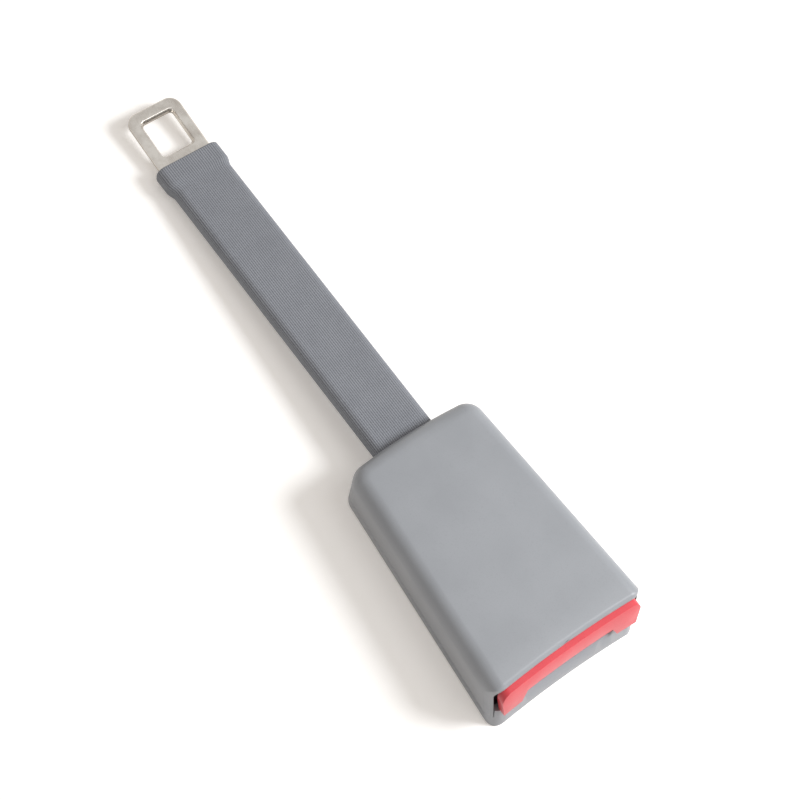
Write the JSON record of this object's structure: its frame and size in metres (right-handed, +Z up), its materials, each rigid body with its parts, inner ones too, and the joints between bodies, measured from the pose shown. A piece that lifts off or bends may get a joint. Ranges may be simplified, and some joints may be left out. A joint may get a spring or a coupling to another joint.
{
  "type": "seat belt extender",
  "caption": "Seat belt extender: latch tongue on a steel strip in a woven sleeve, joined to a push-button buckle with a slanted mouth.",
  "frame": {"origin": "on the buckle cover's flat underside, below the middle of its 87.6 mm top, on the plane of symmetry", "axes": "+X from the tongue towards the buckle's mouth, +Z up from the underside, +Y to the left seen along +X"},
  "size_m": [0.2519, 0.0648, 0.025],
  "materials": {
    "cover_plastic": "fine satin grain",
    "button_plastic": "satin gloss",
    "inner_plastic": "as moulded",
    "frame_steel": "zinc plated",
    "spring_steel": "drawn wire",
    "screw_steel": "blackened",
    "tongue_nickel": "nickel plated",
    "woven_fabric": "ribbed weave"
  },
  "bodies": {
    "housing": {"upper_cover": "cover_plastic", "lower_cover": "cover_plastic", "cover_screws": "screw_steel", "button_spring_left": "spring_steel", "button_spring_right": "spring_steel", "buckle_frame": "frame_steel", "latch_pivots": "frame_steel", "spring_block": "inner_plastic", "ejector_spring": "spring_steel", "tongue_rail_left": "inner_plastic", "tongue_rail_right": "inner_plastic", "tongue_strip": "tongue_nickel", "strap_rivets": "frame_steel", "rivet_washers": "frame_steel", "sleeve": "woven_fabric", "sleeve_core_upper": "inner_plastic", "sleeve_core_lower": "inner_plastic", "sleeve_plug": "inner_plastic", "strap_bush": "inner_plastic"},
    "button": {"release_button": "button_plastic"},
    "ejector": {"ejector": "inner_plastic"},
    "latch": {"latch_plate": "frame_steel"},
    "pin": {"lock_pin": "frame_steel", "lock_pin_clips": "spring_steel"}
  },
  "joints": [
    {"name": "button_press", "type": "slide", "parent": "housing", "child": "button", "axis": [-1, 0, 0], "range_m": [0, 0.005], "stiffness_N_per_m": 1200, "springref_m": -0.002, "deforming": ["button_spring_left", "button_spring_right"]},
    {"name": "ejector_slide", "type": "slide", "parent": "housing", "child": "ejector", "axis": [-1, 0, 0], "range_m": [0, 0.014], "stiffness_N_per_m": 600, "springref_m": -0.004, "deforming": ["ejector_spring"]},
    {"name": "latch_drop", "type": "hinge", "parent": "housing", "child": "latch", "pos_m": [0.002, 0, 0.01535], "axis": [0, 1, 0], "range_deg": [0, 7.5]},
    {"name": "pin_drop", "type": "slide", "parent": "button", "child": "pin", "axis": [0, 0, -1], "range_m": [0, 0.00174]}
  ],
  "couplings": [
    {"joint": "latch_drop", "follows": "ejector_slide", "rad_per_m": 9.3499},
    {"joint": "pin_drop", "follows": "ejector_slide", "ratio": 0.12403}
  ]
}
